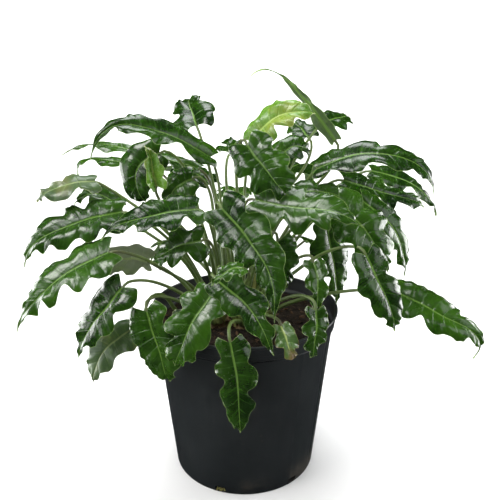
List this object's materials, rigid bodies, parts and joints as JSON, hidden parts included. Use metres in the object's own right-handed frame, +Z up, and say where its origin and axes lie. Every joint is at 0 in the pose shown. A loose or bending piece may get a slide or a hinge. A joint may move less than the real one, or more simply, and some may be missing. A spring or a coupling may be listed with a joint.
{
  "type": "potted philodendron",
  "caption": "Leafy potted philodendron: glossy lobed leaves on long stalks arch out of a plain tapered nursery pot filled with soil.",
  "frame": {"origin": "centre of the pot's flat underside, on the surface that it stands on", "axes": "+Z up along the pot's axis; -Y is the front, where the picture's camera stands; +X is to the right seen from the front"},
  "size_m": [0.5857, 0.386, 0.5451],
  "materials": {
    "pot_plastic": "satin black moulded plastic, scuffed",
    "potting_mix": "moist dark potting mix with bark chips",
    "crown": "rough brown-green leaf bases",
    "leaf_mature": "glossy deep green living leaf with a pale midrib",
    "leaf_young": "glossy lime green young leaf",
    "leaf_aged": "duller grey green older leaf",
    "leaf_browned": "yellowing leaf with a brown tip"
  },
  "bodies": {
    "root": {"crown_back": "crown", "crown_left": "crown", "crown_right": "crown", "leaf_back_left_high": "leaf_mature", "leaf_back_left_low": "leaf_mature", "leaf_back_long": "leaf_mature", "leaf_back_right_curl": "leaf_mature", "leaf_back_right_high": "leaf_mature", "leaf_back_right_low": "leaf_mature", "leaf_back_rim": "leaf_mature", "leaf_back_small": "leaf_mature", "leaf_behind_centre_right": "leaf_mature", "leaf_centre_dark": "leaf_mature", "leaf_centre_front_long": "leaf_mature", "leaf_centre_left_bright": "leaf_mature", "leaf_centre_right_big": "leaf_mature", "leaf_front_hanging": "leaf_mature", "leaf_front_left_drop": "leaf_mature", "leaf_front_right_brown": "leaf_browned", "leaf_front_right_narrow": "leaf_mature", "leaf_front_small_arch": "leaf_mature", "leaf_front_twisted": "leaf_mature", "leaf_inner_shade": "leaf_mature", "leaf_left_dark_fan": "leaf_mature", "leaf_left_hidden": "leaf_mature", "leaf_left_high": "leaf_mature", "leaf_left_long": "leaf_mature", "leaf_left_low_bright": "leaf_mature", "leaf_left_low_dark": "leaf_mature", "leaf_left_mid_long": "leaf_aged", "leaf_left_mid_short": "leaf_mature", "leaf_left_thin": "leaf_mature", "leaf_left_under": "leaf_aged", "leaf_low_left_grey": "leaf_aged", "leaf_mid_back": "leaf_mature", "leaf_right_arch": "leaf_mature", "leaf_right_hanging": "leaf_mature", "leaf_right_inner_drop": "leaf_mature", "leaf_right_low_long": "leaf_mature", "leaf_right_mid": "leaf_mature", "leaf_right_outer_drop": "leaf_mature", "leaf_right_shade": "leaf_mature", "leaf_right_thin": "leaf_mature", "leaf_rim_left": "leaf_mature", "leaf_rim_right": "leaf_mature", "leaf_soil_left": "leaf_aged", "leaf_top_back_star": "leaf_mature", "leaf_top_thin_arch": "leaf_mature", "leaf_top_young": "leaf_young", "leaf_under_centre_left": "leaf_mature", "leaf_upper_left_arch": "leaf_mature", "leaf_upper_right_back": "leaf_mature", "leaf_young_left": "leaf_young", "pot": "pot_plastic", "soil": "potting_mix"}
  },
  "joints": []
}
